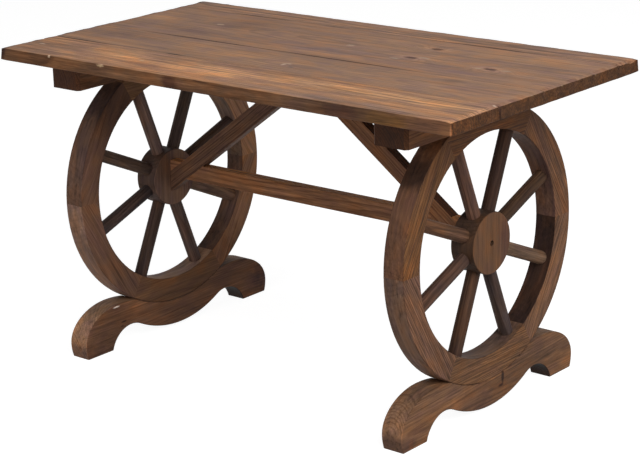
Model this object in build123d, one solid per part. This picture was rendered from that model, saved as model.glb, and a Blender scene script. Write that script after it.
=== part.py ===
from build123d import *
import os
from math import asin, atan2, cos, hypot, radians, sin, sqrt, tan

# A rustic table on two fixed wagon wheels. Millimetres, +Z up. The origin is on the floor below the
# middle of the top, X runs along the table and Y across it. A side of -1 is left, of 1 right.
# Heights stack up from the floor: foot, wheel, batten, planks.

# Top
top_length = 1052
plank_widths = (134, 128, 231, 67)
plank_thickness = 24
top_corner = 3.5
top_arris = 2
seam_groove = 1

# Battens, one across the top over each wheel, a little short of the top's long edges
batten_setback = 26
batten_width = 72
batten_depth = 44
batten_corner = 6
batten_arris = 1

# Wheels, each with its middle a setback in from its end of the top
wheel_setback = 144
wheel_radius = 250
wheel_top_flat = 24
rim_thickness = 42
rim_depth = 47
rim_arris = 1.5
felloe_count = 6
felloe_dowel_diameter = 10
felloe_dowel_length = 40
felloe_dowel_inset = 20

# Spokes and hubs, which sit a little above the middle of the rim
spoke_count = 8
left_spoke_angle = 20.5
right_spoke_angle = 22
spoke_diameter = 25
spoke_in_hub = 18
spoke_in_rim = 16
hub_radius = 56
hub_length = 48
hub_rise = 3
hub_arris = 1.5

# Feet
foot_thickness = 43.5
foot_length = 522
foot_height = 90.5
foot_arris = 1.5
foot_under_wheel = 50.5
belly_clearance = 5.5
belly_radius = 238
arch_radius = 55
arch_height = 39.5
toe_height = 27
toe_undercut = 5
shoulder_length = 96
saddle_lip_height = 86

# Stretcher, braces and the rail under the top, all of one squared bar
bar_width = 22
bar_depth = 33
stretcher_rise = 20
brace_drop = 6.5

# Screws: shank diameter and length of each kind, then how deep their heads are sunk and where they sit
batten_screw = (5, 55)
wheel_screw = (6, 60)
foot_screw = (8, 75)
hub_screw = (5, 80)
brace_screw = (4.5, 36)
rail_screw = (4.5, 44)
head_sink = 6
foot_head_sink = 12
batten_screw_stagger = 27
wheel_screw_spread = 80
foot_screw_spread = 70
brace_screw_reach = 32
rail_screw_spread = 360

# Clearances
fit = 0.15
saddle_gap = 0.2

# Places worked out from the sizes above
wheel_x = top_length / 2 - wheel_setback
wheel_bottom = belly_clearance + foot_under_wheel
wheel_centre = wheel_bottom + wheel_radius
hub_centre = wheel_centre + hub_rise
batten_under = wheel_bottom + 2 * wheel_radius - wheel_top_flat
planks_under = batten_under + batten_depth
top_surface = planks_under + plank_thickness
rail_under = planks_under - bar_depth
rim_inner = wheel_radius - rim_depth
hub_face = wheel_x - hub_length / 2
batten_face = wheel_x - batten_width / 2
top_width = sum(plank_widths)
batten_length = top_width - 2 * batten_setback


def along(origin, direction):
    """The location at origin whose Z points along direction."""
    return Plane(origin=origin, z_dir=direction).location


def rod(diameter, length):
    """A round rod from the origin along Z."""
    return extrude(Circle(diameter / 2), length)


# Screws. Each is drawn at its place, from the top of its flat head to its point.

def screw(size):
    """A wood screw whose flat head lies on the origin and whose shank points along Z."""
    diameter, length = size
    head = Cone(diameter, diameter / 2, diameter / 2, align=(Align.CENTER, Align.CENTER, Align.MIN))
    return head + rod(diameter, length)


def bored(piece, places, size, sink):
    """The piece with a countersunk hole for a screw at each place, open for sink behind the head."""
    diameter, length = size
    countersink = Cone(diameter + fit, diameter / 2 + fit, diameter / 2,
                       align=(Align.CENTER, Align.CENTER, Align.MIN))
    entry = Pos(0, 0, -sink) * rod(2 * (diameter + fit), sink)
    hole = rod(diameter + 2 * fit, length + fit) + countersink + entry
    for place in places:
        piece = piece - place * hole
    return piece


def batten_screw_places(side):
    """One screw up into each plank, two into the widest, by turns on either side of the wheel."""
    places = []
    edge = -top_width / 2
    reach = batten_length / 2 - 2 * batten_corner
    stagger = batten_screw_stagger
    for width in plank_widths:
        screws = 2 if width == max(plank_widths) else 1
        for number in range(screws):
            y = edge + width * (number + 0.5) / screws
            y = max(-reach, min(reach, y))
            places.append(along((side * wheel_x + stagger, y, batten_under + head_sink), (0, 0, 1)))
            stagger = -stagger
        edge += width
    return places


def wheel_screw_places(side):
    """Two screws down through the batten into the top felloe."""
    z = planks_under - head_sink
    return [along((side * wheel_x, end * wheel_screw_spread / 2, z), (0, 0, -1)) for end in (-1, 1)]


def foot_screw_places(side):
    """Two screws up through the belly of the foot into the bottom felloe."""
    y = foot_screw_spread / 2
    belly = belly_clearance + belly_radius - sqrt(belly_radius ** 2 - y ** 2)
    return [along((side * wheel_x, end * y, belly + foot_head_sink), (0, 0, 1)) for end in (-1, 1)]


def hub_screw_places(side):
    """One screw from the outer face of the hub into the end of the brace."""
    x = side * (wheel_x + hub_length / 2 - head_sink)
    return [along((x, 0, hub_centre), (-side, 0, 0))]


def brace_screw_places(side):
    """One screw up through the top end of the brace into the rail."""
    under = rail_under - brace_screw_reach * tan(brace_slope())
    return [along((side * brace_screw_reach, 0, under + head_sink), (0, 0, 1))]


def rail_screw_places():
    """Two screws up through the rail into the plank above it."""
    return [along((end * rail_screw_spread / 2, 0, rail_under + head_sink), (0, 0, 1)) for end in (-1, 1)]


# Top

def seams():
    """How far across the table each edge of a plank lies, from the front edge to the back edge."""
    edges = [-top_width / 2]
    for width in plank_widths:
        edges.append(edges[-1] + width)
    return edges


def slab():
    """The whole top with its corners rounded, its arrises eased and a fine groove along each seam."""
    piece = Pos(0, 0, planks_under + plank_thickness / 2) * Box(top_length, top_width, plank_thickness)
    piece = fillet(piece.edges().filter_by(Axis.Z), top_corner)
    piece = chamfer(piece.faces().filter_by(Axis.Z).edges(), top_arris)
    side = seam_groove / sqrt(2)
    for y in seams()[1:-1]:
        piece = piece - Pos(0, y, top_surface) * Rot(X=45) * Box(top_length, side, side)
    return piece


def planks():
    """The planks of the top from front to back, with the holes of the screws from below."""
    whole = slab()
    for side in (-1, 1):
        whole = bored(whole, batten_screw_places(side), batten_screw, head_sink)
    whole = bored(whole, rail_screw_places(), rail_screw, head_sink)
    pieces = []
    for front, back in zip(seams(), seams()[1:]):
        band = Box(2 * top_length, back - front, 2 * plank_thickness)
        pieces.append(whole & Pos(0, (front + back) / 2, top_surface) * band)
    return pieces


def batten(side):
    """The batten over one wheel, with its upright corners cut off and its arrises eased."""
    piece = Pos(side * wheel_x, 0, batten_under + batten_depth / 2) * Box(batten_width, batten_length, batten_depth)
    piece = chamfer(piece.edges().filter_by(Axis.Z), batten_corner)
    piece = chamfer(piece.faces().sort_by(Axis.Z)[0].edges(), batten_arris)
    piece = bored(piece, batten_screw_places(side), batten_screw, head_sink)
    return bored(piece, wheel_screw_places(side), wheel_screw, head_sink)


# Wheels

def spoke(side, number, clearance=0.0):
    """A dowel spoke, from the bottom of its socket in the hub to the bottom of its socket in the rim."""
    first = left_spoke_angle if side < 0 else right_spoke_angle
    turn = radians(first + (number - 1) * 360 / spoke_count)
    start = hub_radius - spoke_in_hub - clearance
    end = rim_inner + spoke_in_rim + clearance
    foot_point = (side * wheel_x, start * cos(turn), hub_centre + start * sin(turn))
    return along(foot_point, (0, cos(turn), sin(turn))) * rod(spoke_diameter + 2 * clearance, end - start)


def felloe_dowel(side, joint, clearance=0.0):
    """The dowel square across one joint of the rim."""
    turn = radians(joint * 360 / felloe_count)
    reach = wheel_radius - felloe_dowel_inset
    length = felloe_dowel_length + 2 * clearance
    middle = Vector(side * wheel_x, reach * cos(turn), wheel_centre + reach * sin(turn))
    tangent = Vector(0, -sin(turn), cos(turn))
    return along(middle - tangent * (length / 2), tangent) * rod(felloe_dowel_diameter + 2 * clearance, length)


def felloe(side, number):
    """One segment of the rim between two joints that point at the hub, flat where it meets the batten."""
    share = 360 / felloe_count
    section = Pos(0, rim_inner + rim_depth / 2) * Rectangle(rim_thickness, rim_depth)
    section = chamfer(section.vertices(), rim_arris)
    piece = Rot(X=(number - 1) * share) * revolve(section, Axis.X, revolution_arc=share)
    piece = Pos(side * wheel_x, 0, wheel_centre) * piece
    above = Box(2 * rim_thickness, 2 * wheel_radius, wheel_radius, align=(Align.CENTER, Align.CENTER, Align.MIN))
    piece = piece - Pos(side * wheel_x, 0, batten_under) * above
    for joint in (number - 1, number):
        piece = piece - felloe_dowel(side, joint, fit)
    for spoke_number in range(1, spoke_count + 1):
        piece = piece - spoke(side, spoke_number, fit)
    piece = bored(piece, wheel_screw_places(side), wheel_screw, head_sink)
    return bored(piece, foot_screw_places(side), foot_screw, foot_head_sink)


def hub(side):
    """The round hub, a little longer than the rim is thick, with a socket for each spoke."""
    start = (side * (wheel_x - hub_length / 2), 0, hub_centre)
    piece = along(start, (side, 0, 0)) * rod(2 * hub_radius, hub_length)
    piece = chamfer(piece.edges().filter_by(GeomType.CIRCLE), hub_arris)
    for number in range(1, spoke_count + 1):
        piece = piece - spoke(side, number, fit)
    return bored(piece, hub_screw_places(side), hub_screw, head_sink)


# Feet

def foot_half():
    """Half of the foot's side view: belly, arch, pad, toe, shoulder and saddle, with Y drawn to the right."""
    drop = arch_height - belly_clearance
    reach = belly_radius + arch_radius
    arch_y = sqrt(2 * reach * drop - drop ** 2)
    arch_z = arch_height - arch_radius
    pad = arch_y + sqrt(arch_radius ** 2 - arch_z ** 2)
    share = belly_radius / reach
    belly_z = belly_clearance + belly_radius
    turn = (arch_y * share, belly_z + (arch_z - belly_z) * share)
    end = foot_length / 2
    quarter_turn = 90
    shoulder = end - shoulder_length
    saddle_radius = wheel_radius + saddle_gap
    half_angle = asin(sqrt(saddle_radius ** 2 - (wheel_centre - saddle_lip_height) ** 2) / saddle_radius)
    lip = (saddle_radius * sin(half_angle), saddle_lip_height)
    middle = (saddle_radius * sin(half_angle / 2), wheel_centre - saddle_radius * cos(half_angle / 2))
    bottom = (0, wheel_centre - saddle_radius)
    return make_face([
        TangentArc((0, belly_clearance), turn, tangent=(1, 0)),
        ThreePointArc(turn, (arch_y, arch_height), (pad, 0)),
        Line((pad, 0), (end - toe_undercut, 0)),
        TangentArc((end, toe_height), (end - toe_undercut, 0), tangent=(0, -1)),
        EllipticalCenterArc((shoulder, toe_height), shoulder_length, foot_height - toe_height, arc_size=quarter_turn),
        TangentArc((shoulder, foot_height), lip, tangent=(-1, 0)),
        ThreePointArc(lip, middle, bottom),
        Line(bottom, (0, belly_clearance)),
    ])


def foot(side):
    """The S-curved foot, the same front and back, with its arrises eased."""
    half = foot_half()
    outline = half + mirror(half, about=Plane.YZ)
    face = Plane(origin=(side * wheel_x - foot_thickness / 2, 0, 0), x_dir=(0, 1, 0), z_dir=(1, 0, 0))
    piece = extrude(face * outline, foot_thickness)
    piece = chamfer(piece.faces().filter_by(Axis.X).edges(), foot_arris)
    return bored(piece, foot_screw_places(side), foot_screw, 2 * foot_head_sink)


# Stretcher, braces and rail

def brace_slope():
    """The slope at which the brace's lower edge meets the other brace's under the middle of the rail."""
    rise = rail_under - (hub_centre - brace_drop)
    return atan2(rise, hub_face) + asin(bar_depth / 2 / hypot(rise, hub_face))


def bar(points, width):
    """A bar whose side view is the polygon through the points, with the table's middle plane in its own."""
    side_view = Plane.XZ * make_face(Polyline(*points, close=True))
    return extrude(side_view, width / 2, both=True)


def brace_bar(side, width):
    """A brace before it is halved, cut level under the rail and upright at the hub."""
    upright = bar_depth / cos(brace_slope())
    level = bar_depth / sin(brace_slope())
    heel = rail_under - hub_face * tan(brace_slope())
    return bar([(0, rail_under), (side * level, rail_under), (side * hub_face, heel + upright),
                (side * hub_face, heel)], width)


def stretcher_bar(width):
    """The stretcher before it is halved, from hub to hub."""
    low = hub_centre + stretcher_rise - bar_depth / 2
    high = low + bar_depth
    return bar([(-hub_face, low), (hub_face, low), (hub_face, high), (-hub_face, high)], width)


def half_of_bars(side):
    """All that lies in front of (-1) or behind (1) the middle plane of the bars."""
    return Pos(0, side * bar_width, 0) * Box(2 * top_length, 2 * bar_width, 2 * top_length)


def brace(side):
    """A brace, halved behind where the stretcher crosses it."""
    piece = brace_bar(side, bar_width) - (stretcher_bar(2 * bar_width) & half_of_bars(1))
    piece = bored(piece, hub_screw_places(side), hub_screw, head_sink)
    return bored(piece, brace_screw_places(side), brace_screw, bar_depth)


def stretcher():
    """The stretcher, halved in front where each brace crosses it."""
    piece = stretcher_bar(bar_width)
    for side in (-1, 1):
        piece = piece - (brace_bar(side, 2 * bar_width) & half_of_bars(-1))
    return piece


def top_rail():
    """The rail under the planks, between the battens."""
    piece = bar([(-batten_face, rail_under), (batten_face, rail_under), (batten_face, planks_under),
                 (-batten_face, planks_under)], bar_width)
    for side in (-1, 1):
        piece = bored(piece, brace_screw_places(side), brace_screw, head_sink)
    return bored(piece, rail_screw_places(), rail_screw, head_sink)


def screws_of(places, size):
    return [place * screw(size) for place in places]


# All the pieces, by the name of their node

nodes = {f"top_plank_{number}": plank for number, plank in enumerate(planks(), start=1)}
nodes["top_rail"] = top_rail()
nodes["stretcher"] = stretcher()
for name, side in (("left", -1), ("right", 1)):
    nodes[f"{name}_batten"] = batten(side)
    nodes[f"{name}_batten_screws"] = screws_of(batten_screw_places(side), batten_screw)
    nodes[f"{name}_hub"] = hub(side)
    nodes[f"{name}_foot"] = foot(side)
    nodes[f"{name}_brace"] = brace(side)
    for number in range(1, felloe_count + 1):
        nodes[f"{name}_felloe_{number}"] = felloe(side, number)
    nodes[f"{name}_felloe_dowels"] = [felloe_dowel(side, joint) for joint in range(felloe_count)]
    for number in range(1, spoke_count + 1):
        nodes[f"{name}_spoke_{number}"] = spoke(side, number)
nodes["wheel_screws"] = screws_of(wheel_screw_places(-1) + wheel_screw_places(1), wheel_screw)
nodes["foot_screws"] = screws_of(foot_screw_places(-1) + foot_screw_places(1), foot_screw)
nodes["hub_screws"] = screws_of(hub_screw_places(-1) + hub_screw_places(1), hub_screw)
nodes["brace_screws"] = screws_of(brace_screw_places(-1) + brace_screw_places(1), brace_screw)
nodes["rail_screws"] = screws_of(rail_screw_places(), rail_screw)

os.makedirs("parts", exist_ok=True)
for name, pieces in nodes.items():
    group = pieces if isinstance(pieces, list) else [pieces]
    export_step(Compound([piece.solid() for piece in group]), f"parts/{name}.step")
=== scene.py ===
import math
import random

import bpy
from mathutils import Matrix, Vector


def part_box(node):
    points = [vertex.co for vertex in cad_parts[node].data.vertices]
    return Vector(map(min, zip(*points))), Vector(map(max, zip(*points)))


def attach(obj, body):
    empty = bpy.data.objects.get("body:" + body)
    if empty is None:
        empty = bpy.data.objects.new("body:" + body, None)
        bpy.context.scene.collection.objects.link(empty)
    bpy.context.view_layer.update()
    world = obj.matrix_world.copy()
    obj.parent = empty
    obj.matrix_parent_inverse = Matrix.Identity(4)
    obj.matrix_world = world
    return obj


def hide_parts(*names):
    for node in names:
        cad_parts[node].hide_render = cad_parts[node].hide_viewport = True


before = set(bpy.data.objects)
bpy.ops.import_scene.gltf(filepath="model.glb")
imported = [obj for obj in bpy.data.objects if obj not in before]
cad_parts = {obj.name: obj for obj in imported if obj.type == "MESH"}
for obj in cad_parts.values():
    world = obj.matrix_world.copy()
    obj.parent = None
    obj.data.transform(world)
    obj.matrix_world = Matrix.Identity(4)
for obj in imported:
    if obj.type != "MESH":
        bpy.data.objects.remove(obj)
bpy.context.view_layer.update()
bpy.ops.object.select_all(action="DESELECT")


# ---------------------------------------------------------------- feet
# Each wheel sits in the saddle of an S-curved foot, band-sawn from one thick fir plank that lies along
# the foot. Belly, arch, toe and shoulder are one line of tangent curves, and its arrises are eased.

nodes_in_row = 10
node_width = 220
node_height = 320
hair = 0.0001
sharp_from = math.radians(40)
flat_from = 0.98
square_below = 0.02


def plugged(tree, source, socket):
    """Feeds an input with a socket or a plain value, or leaves it as it is."""
    if isinstance(source, bpy.types.NodeSocket):
        tree.links.new(source, socket)
    elif source is not None:
        socket.default_value = source


def grown(tree, kind, *sources, **settings):
    """Adds a node, plugs sockets or plain values into its inputs in turn, and gives its first output."""
    made = tree.nodes.new(kind)
    row, column = divmod(len(tree.nodes), nodes_in_row)
    made.location = (column * node_width, -row * node_height)
    for key, value in settings.items():
        setattr(made, key, value)
    for socket, source in zip(made.inputs, sources):
        plugged(tree, source, socket)
    return next(output for output in made.outputs if output.enabled)


def worked(tree, operation, *sources):
    """One step of arithmetic on plain values."""
    return grown(tree, "ShaderNodeMath", *sources, operation=operation)


def moved(tree, operation, *sources):
    """One step of arithmetic on places."""
    return grown(tree, "ShaderNodeVectorMath", *sources, operation=operation)


def object_place(tree):
    """The place on the piece."""
    return grown(tree, "ShaderNodeTexCoord").node.outputs["Object"]


def outward(tree):
    """The direction in which the surface looks."""
    return grown(tree, "ShaderNodeNewGeometry").node.outputs["Normal"]


def speckle(tree, place, stretch, detail=2.0, roughness=0.5, colour=False):
    """Noise drawn out by a stretch per metre along each direction of the log."""
    drawn_out = moved(tree, "MULTIPLY", place, stretch)
    value = grown(tree, "ShaderNodeTexNoise", drawn_out, None, 1.0, detail, roughness)
    return value.node.outputs["Color"] if colour else value


def ramp(tree, value, stops):
    """Colours or greys laid out along a value."""
    made = grown(tree, "ShaderNodeValToRGB", value).node
    while len(made.color_ramp.elements) < len(stops):
        made.color_ramp.elements.new(0.5)
    for element, (position, colour) in zip(made.color_ramp.elements, stops):
        element.position = position
        element.color = (*colour, 1) if isinstance(colour, tuple) else (colour, colour, colour, 1)
    return made.outputs["Color"]


def blended(tree, amount, first, second, blend="MIX"):
    """A second colour over a first one."""
    made = grown(tree, "ShaderNodeMix", amount, data_type="RGBA", blend_type=blend)
    for side, colour in (("A_Color", first), ("B_Color", second)):
        socket = next(entry for entry in made.node.inputs if entry.identifier == side)
        plugged(tree, (*colour, 1) if isinstance(colour, tuple) else colour, socket)
    return made


def fir_group():
    """Brushed and stained fir, read from a place in the log with X along the grain and the heart at 0."""
    tree = bpy.data.node_groups.new("stained_fir", "ShaderNodeTree")
    for name, kind in (("Place", "Vector"), ("Seed", "Float"), ("Rings", "Float"), ("Wander", "Float"),
                       ("Swirl", "Float"), ("Lines", "Float"), ("Smoke", "Float"), ("Golden", "Float"),
                       ("End grain", "Float")):
        tree.interface.new_socket(name, in_out="INPUT", socket_type=f"NodeSocket{kind}")
    for name, kind in (("Color", "Color"), ("Roughness", "Float"), ("Height", "Float")):
        tree.interface.new_socket(name, in_out="OUTPUT", socket_type=f"NodeSocket{kind}")
    asked = tree.nodes.new("NodeGroupInput").outputs
    given = tree.nodes.new("NodeGroupOutput").inputs

    # The grain wanders slowly along the log, and each log wanders in its own way.
    log = moved(tree, "ADD", asked["Place"], moved(tree, "MULTIPLY", asked["Seed"], (3.1, 1.7, 2.3)))
    slow = moved(tree, "SUBTRACT", speckle(tree, log, (1.7, 8.0, 8.0), 1.0, colour=True), (0.5, 0.5, 0.5))
    slow = moved(tree, "MULTIPLY", slow, asked["Wander"])
    quick = moved(tree, "SUBTRACT", speckle(tree, log, (9.0, 45.0, 45.0), 2.0, colour=True), (0.5, 0.5, 0.5))
    bend = moved(tree, "MULTIPLY_ADD", slow, (0.0, 1.0, 1.0), asked["Place"])
    bend = moved(tree, "MULTIPLY_ADD", quick, (0.0, 0.0030, 0.0030), bend)

    # Each year grows soft and pale, hardens to a dark line, and stops short.
    across = moved(tree, "MULTIPLY", bend, (0.0, 1.0, 1.0))
    radius = worked(tree, "ADD", moved(tree, "LENGTH", across).node.outputs["Value"], asked["Swirl"])
    count = worked(tree, "MULTIPLY", radius, asked["Rings"])
    pace = grown(tree, "ShaderNodeTexNoise", None, count, 0.35, 1.0, noise_dimensions="1D")
    count = worked(tree, "MULTIPLY_ADD", pace, 2.0, count)
    year = grown(tree, "ShaderNodeTexWhiteNoise", None, worked(tree, "FLOOR", count), noise_dimensions="1D")
    late = ramp(tree, worked(tree, "FRACT", count),
                ((0.0, 0.30), (0.10, 0.0), (0.45, 0.10), (0.70, 0.85), (0.90, 1.0), (1.0, 0.30)))
    late = worked(tree, "MULTIPLY", late, worked(tree, "MULTIPLY_ADD", year, 0.6, 0.4))
    late = worked(tree, "MULTIPLY", late, asked["Lines"])

    # Fibres, streaks of stain and clouds of tone are all drawn out along the grain.
    fine = moved(tree, "MULTIPLY_ADD", quick, (0.0, 0.003, 0.003), log)
    fibre = speckle(tree, fine, (22.0, 520.0, 520.0), 3.0, 0.7)
    streak = speckle(tree, fine, (4.5, 150.0, 150.0), 3.0, 0.6)
    cloud = speckle(tree, log, (2.6, 16.0, 16.0), 3.0, 0.6)

    soft_wood = blended(tree, asked["Golden"], (0.262, 0.136, 0.074), (0.52, 0.275, 0.120))
    hard_wood = blended(tree, asked["Golden"], (0.070, 0.031, 0.017), (0.210, 0.095, 0.042))
    colour = blended(tree, late, soft_wood, hard_wood)
    rubbed = ramp(tree, fibre, ((0.30, 0.45), (0.5, 1.0), (0.66, 1.40)))
    colour = blended(tree, asked["Lines"], colour, rubbed, "MULTIPLY")
    dragged = ramp(tree, streak, ((0.28, 0.45), (0.45, 0.92), (0.58, 1.05), (0.72, 1.45)))
    colour = blended(tree, asked["Smoke"], colour, dragged, "MULTIPLY")
    smoky = ramp(tree, cloud,
                 ((0.28, (0.60, 0.62, 0.72)), (0.48, (0.95, 0.95, 0.97)), (0.72, (1.35, 1.22, 1.04))))
    colour = blended(tree, asked["Smoke"], colour, smoky, "MULTIPLY")
    patch = speckle(tree, log, (15.0, 36.0, 36.0), 2.0, 0.6)
    hue = ramp(tree, patch,
               ((0.36, (0.87, 0.84, 0.98)), (0.5, (1.0, 0.98, 0.96)), (0.64, (1.18, 1.01, 0.84))))
    colour = blended(tree, 0.85, colour, hue, "MULTIPLY")
    colour = blended(tree, worked(tree, "MULTIPLY", asked["End grain"], 0.5), colour, (0.055, 0.026, 0.014))
    tree.links.new(colour, given["Color"])

    rough = worked(tree, "MULTIPLY_ADD", late, -0.10, 0.60)
    tree.links.new(worked(tree, "MULTIPLY_ADD", fibre, 0.10, rough), given["Roughness"])
    proud = worked(tree, "MULTIPLY_ADD", fibre, 0.6, worked(tree, "MULTIPLY", late, 0.5))
    tree.links.new(worked(tree, "MULTIPLY_ADD", streak, 0.7, proud), given["Height"])
    return tree


fir = fir_group()


def blank(name):
    """A new material, with its tree and its shader."""
    material = bpy.data.materials.new(name)
    material.use_nodes = True
    return material, material.node_tree, material.node_tree.nodes["Principled BSDF"]


def stained(name, along, heart, tone=(1.0, 1.0, 1.0), soaked=1.0, **features):
    """A stained fir material, with its grain along a direction and the heart of its log through a point."""
    material, tree, shader = blank(name)
    grain = Vector(along).normalized()
    log = grown(tree, "ShaderNodeMapping", object_place(tree), tuple(heart),
                grain.to_track_quat("X", "Z").to_euler(), vector_type="TEXTURE")
    end = moved(tree, "DOT_PRODUCT", outward(tree), tuple(grain)).node.outputs["Value"]
    end = worked(tree, "MULTIPLY", worked(tree, "POWER", worked(tree, "ABSOLUTE", end), 3.0), soaked)
    wood = tree.nodes.new("ShaderNodeGroup")
    wood.name = "fir"
    wood.node_tree = fir
    tree.links.new(log, wood.inputs["Place"])
    tree.links.new(end, wood.inputs["End grain"])
    usual = {"Seed": 0.0, "Rings": 200.0, "Wander": 0.02, "Lines": 0.8, "Smoke": 0.6, "Golden": 0.0}
    for feature, value in {**usual, **features}.items():
        wood.inputs[feature].default_value = value
    colour = blended(tree, 1.0, wood.outputs["Color"], tone, "MULTIPLY")
    tree.links.new(colour, shader.inputs["Base Color"])
    tree.links.new(wood.outputs["Roughness"], shader.inputs["Roughness"])
    relief = grown(tree, "ShaderNodeBump").node
    relief.inputs["Strength"].default_value = 0.6
    relief.inputs["Distance"].default_value = 0.0009
    tree.links.new(wood.outputs["Height"], relief.inputs["Height"])
    tree.links.new(relief.outputs["Normal"], shader.inputs["Normal"])
    shader.inputs["Specular IOR Level"].default_value = 0.1
    return material


def near(tree, centre, reach, ragged=0.35, grit=(60.0, 60.0, 60.0), start=0.35):
    """1 at a place on the piece, falling to 0 at a reach along X, Y and Z, with a ragged edge."""
    place = object_place(tree)
    away = moved(tree, "DIVIDE", moved(tree, "SUBTRACT", place, tuple(centre)), tuple(reach))
    away = moved(tree, "LENGTH", away).node.outputs["Value"]
    if ragged:
        rough = speckle(tree, place, grit, 2.0)
        away = worked(tree, "ADD", away, worked(tree, "MULTIPLY_ADD", rough, 2 * ragged, -ragged))
    return grown(tree, "ShaderNodeMapRange", away, start, 1.0, 1.0, 0.0, interpolation_type="SMOOTHSTEP")


def turned(tree, direction, start=0.35, full=0.8):
    """1 on the faces that look in a direction, 0 on the others."""
    towards = tuple(Vector(direction).normalized())
    facing = moved(tree, "DOT_PRODUCT", outward(tree), towards).node.outputs["Value"]
    return grown(tree, "ShaderNodeMapRange", facing, start, full, 0.0, 1.0)


def tint(material, mask, colour, blend="MULTIPLY"):
    """Lays a colour over a material where a mask is 1."""
    tree = material.node_tree
    socket = tree.nodes["Principled BSDF"].inputs["Base Color"]
    tree.links.new(blended(tree, mask, socket.links[0].from_socket, colour, blend), socket)


def mark(material, centre, reach, colour, *edge, blend="MULTIPLY", within=None, **more):
    """Lays a colour over a material near a place, with an edge as near takes it, and only within a mask."""
    tree = material.node_tree
    mask = near(tree, centre, reach, *edge, **more)
    if within:
        mask = worked(tree, "MULTIPLY", mask, within)
    tint(material, mask, colour, blend)


def calmed(material, mask, lines, calm):
    """Year lines of one strength, and of another where a mask is 1."""
    tree = material.node_tree
    strength = grown(tree, "ShaderNodeMapRange", mask, 0.0, 1.0, lines, calm)
    tree.links.new(strength, tree.nodes["fir"].inputs["Lines"])


def settled():
    """Fixes the place, turn and size of the active piece in its mesh."""
    bpy.ops.object.transform_apply(location=True, rotation=True, scale=True)


def opened():
    """Opens the active piece in edit mode with all of it selected."""
    bpy.ops.object.mode_set(mode="EDIT")
    bpy.ops.mesh.select_all(action="SELECT")


def closed():
    """Turns the selected faces of the active piece outward and leaves edit mode."""
    bpy.ops.mesh.normals_make_consistent(inside=False)
    bpy.ops.object.mode_set(mode="OBJECT")


def finished(node, material, unrubbed, stuff="wood"):
    """Names the active piece, fixes its place in its mesh, marks its eased arrises and hands it over."""
    piece = bpy.context.object
    piece.name = piece.data.name = f"{node}_{stuff}"
    settled()
    worn = piece.data.attributes.new("arris", "FLOAT", "FACE")
    for face in piece.data.polygons:
        worn.data[face.index].value = 0.0 if unrubbed(face) else 1.0
    bpy.ops.object.shade_smooth_by_angle(angle=sharp_from)
    evened = piece.modifiers.new("evened", "WEIGHTED_NORMAL")
    evened.keep_sharp = True
    bpy.ops.object.modifier_apply(modifier="evened")
    piece.data.materials.clear()
    piece.data.materials.append(material)
    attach(piece, "root")
    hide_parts(node)
    bpy.ops.object.select_all(action="DESELECT")


def arris_wear_and_highlight(material, colour, strength, within=None):
    """Lightens or darkens a material along its arrises, more in some places than in others; the lighter
    arrises are painted highlights.
    """
    tree = material.node_tree
    arris = grown(tree, "ShaderNodeAttribute", attribute_name="arris").node.outputs["Fac"]
    patches = speckle(tree, object_place(tree), (26.0, 26.0, 26.0), 3.0)
    patchy = ramp(tree, patches, ((0.38, 0.15), (0.62, 1.0)))
    mask = worked(tree, "MULTIPLY", worked(tree, "MULTIPLY", arris, patchy), strength)
    if within:
        mask = worked(tree, "MULTIPLY", mask, within)
    tint(material, mask, colour)


foot_low, foot_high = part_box("left_foot")
foot_thickness = foot_high.x - foot_low.x
foot_length = foot_high.y - foot_low.y
foot_height = 0.0905
foot_arris = 0.0015
belly_clearance = foot_low.z + 0.0055
belly_radius = 0.238
arch_radius = 0.055
arch_height = 0.0395
toe_height = 0.027
toe_undercut = 0.005
shoulder_length = 0.096
saddle_lip_height = 0.086
saddle_radius = 0.2502
foot_screw_y = 0.035
foot_sink = 0.012
wheel_centre = 0.306
wheel_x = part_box("right_foot")[0].x + foot_thickness / 2


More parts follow.
